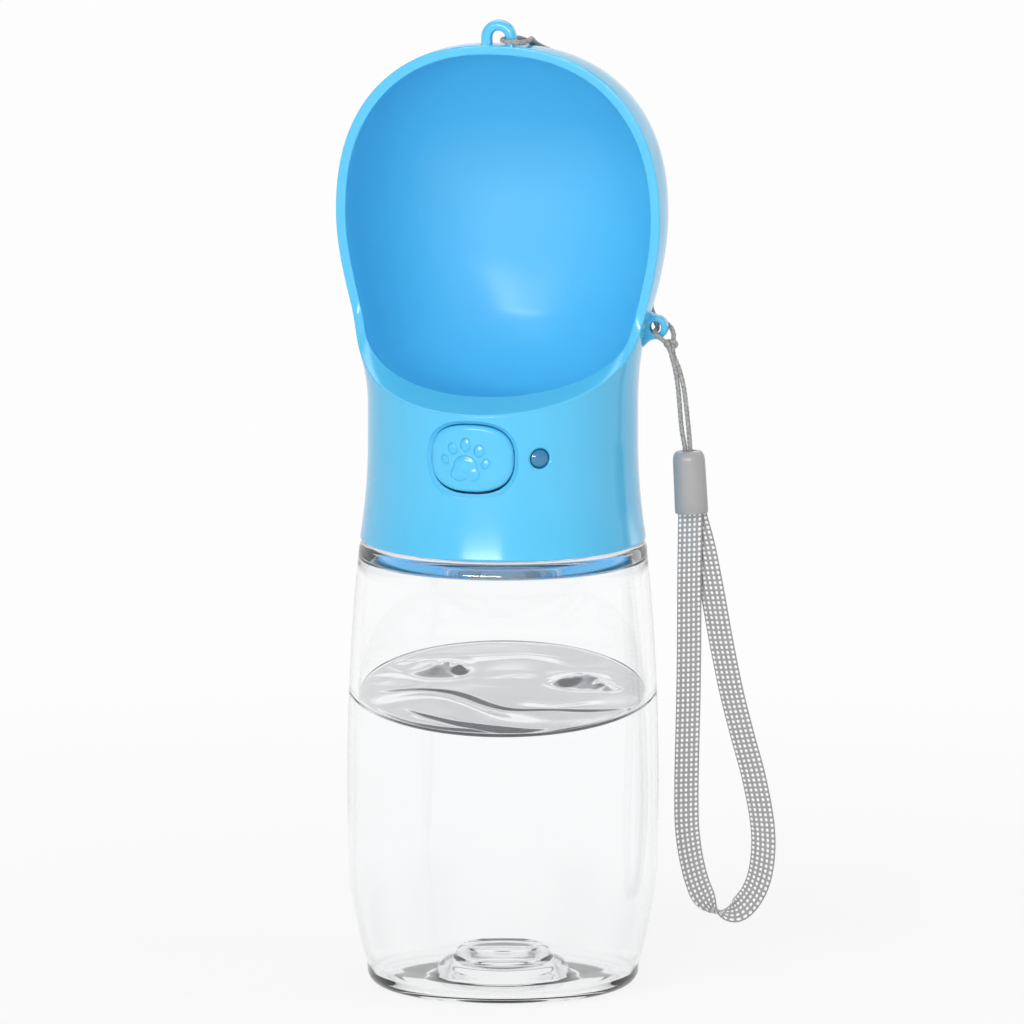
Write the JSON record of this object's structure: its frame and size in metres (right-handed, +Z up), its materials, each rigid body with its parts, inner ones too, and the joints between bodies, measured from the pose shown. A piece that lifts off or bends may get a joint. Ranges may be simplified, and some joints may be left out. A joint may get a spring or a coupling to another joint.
{
  "type": "dog travel water bottle",
  "caption": "Clear water bottle with a screw-on head: a push-button valve in the collar feeds a half-egg drinking scoop; wrist strap on a side lug.",
  "frame": {"origin": "centre of the bottle's base, on the surface that it stands on", "axes": "+Z up along the bottle's axis, the button faces -Y, the side lug and the strap are on the +X side"},
  "size_m": [0.1051, 0.074, 0.2337],
  "materials": {
    "clear_bottle": "clear glossy plastic",
    "blue_plastic": "satin gloss moulded plastic",
    "white_plastic": "moulded plastic",
    "spring_steel": "bright drawn wire",
    "silicone": "translucent soft rubber",
    "lens": "polished dark translucent plastic",
    "grey_string": "twisted nylon",
    "grey_plastic": "satin moulded plastic",
    "braided_tape": "braided tape with white flecks"
  },
  "bodies": {
    "bottle": {"bottle": "clear_bottle"},
    "gasket": {"neck_gasket": "silicone"},
    "head": {"head_shell": "blue_plastic", "valve_carrier": "white_plastic", "carrier_screws": "spring_steel", "outlet_gasket": "silicone", "rod_ring": "silicone", "window_lens": "lens", "back_string": "grey_string", "button_spring": "spring_steel", "valve_spring": "spring_steel"},
    "button": {"button_cap": "blue_plastic", "push_rod": "white_plastic"},
    "valve": {"valve_stem": "white_plastic", "valve_plug": "white_plastic", "plug_seal": "silicone", "plug_screw": "spring_steel"},
    "strap": {"left_string": "grey_string", "right_string": "grey_string", "string_knot": "grey_string", "string_bead": "grey_plastic", "wrist_strap": "braided_tape"}
  },
  "joints": [
    {"name": "head_lift", "type": "slide", "parent": "bottle", "child": "gasket", "axis": [0, 0, 1], "range_m": [0, 0.005]},
    {"name": "head_turn", "type": "hinge", "parent": "gasket", "child": "head", "pos_m": [0, 0, 0.118], "axis": [0, 0, 1], "range_deg": [0, 450]},
    {"name": "button_press", "type": "slide", "parent": "head", "child": "button", "axis": [0, 1, 0], "range_m": [0, 0.0035], "stiffness_N_per_m": 600, "springref_m": -0.004, "deforming": ["button_spring"]},
    {"name": "valve_open", "type": "slide", "parent": "head", "child": "valve", "axis": [0, 0, -1], "range_m": [0, 0.0035], "stiffness_N_per_m": 300, "springref_m": -0.004, "deforming": ["valve_spring"]},
    {"name": "strap_swing", "type": "hinge", "parent": "head", "child": "strap", "pos_m": [0.0367, 0.003, 0.159], "axis": [0, -1, 0], "range_deg": [0, 100]}
  ],
  "couplings": [
    {"joint": "head_lift", "follows": "head_turn", "m_per_rad": 0.00063662},
    {"joint": "valve_open", "follows": "button_press", "ratio": 1}
  ]
}
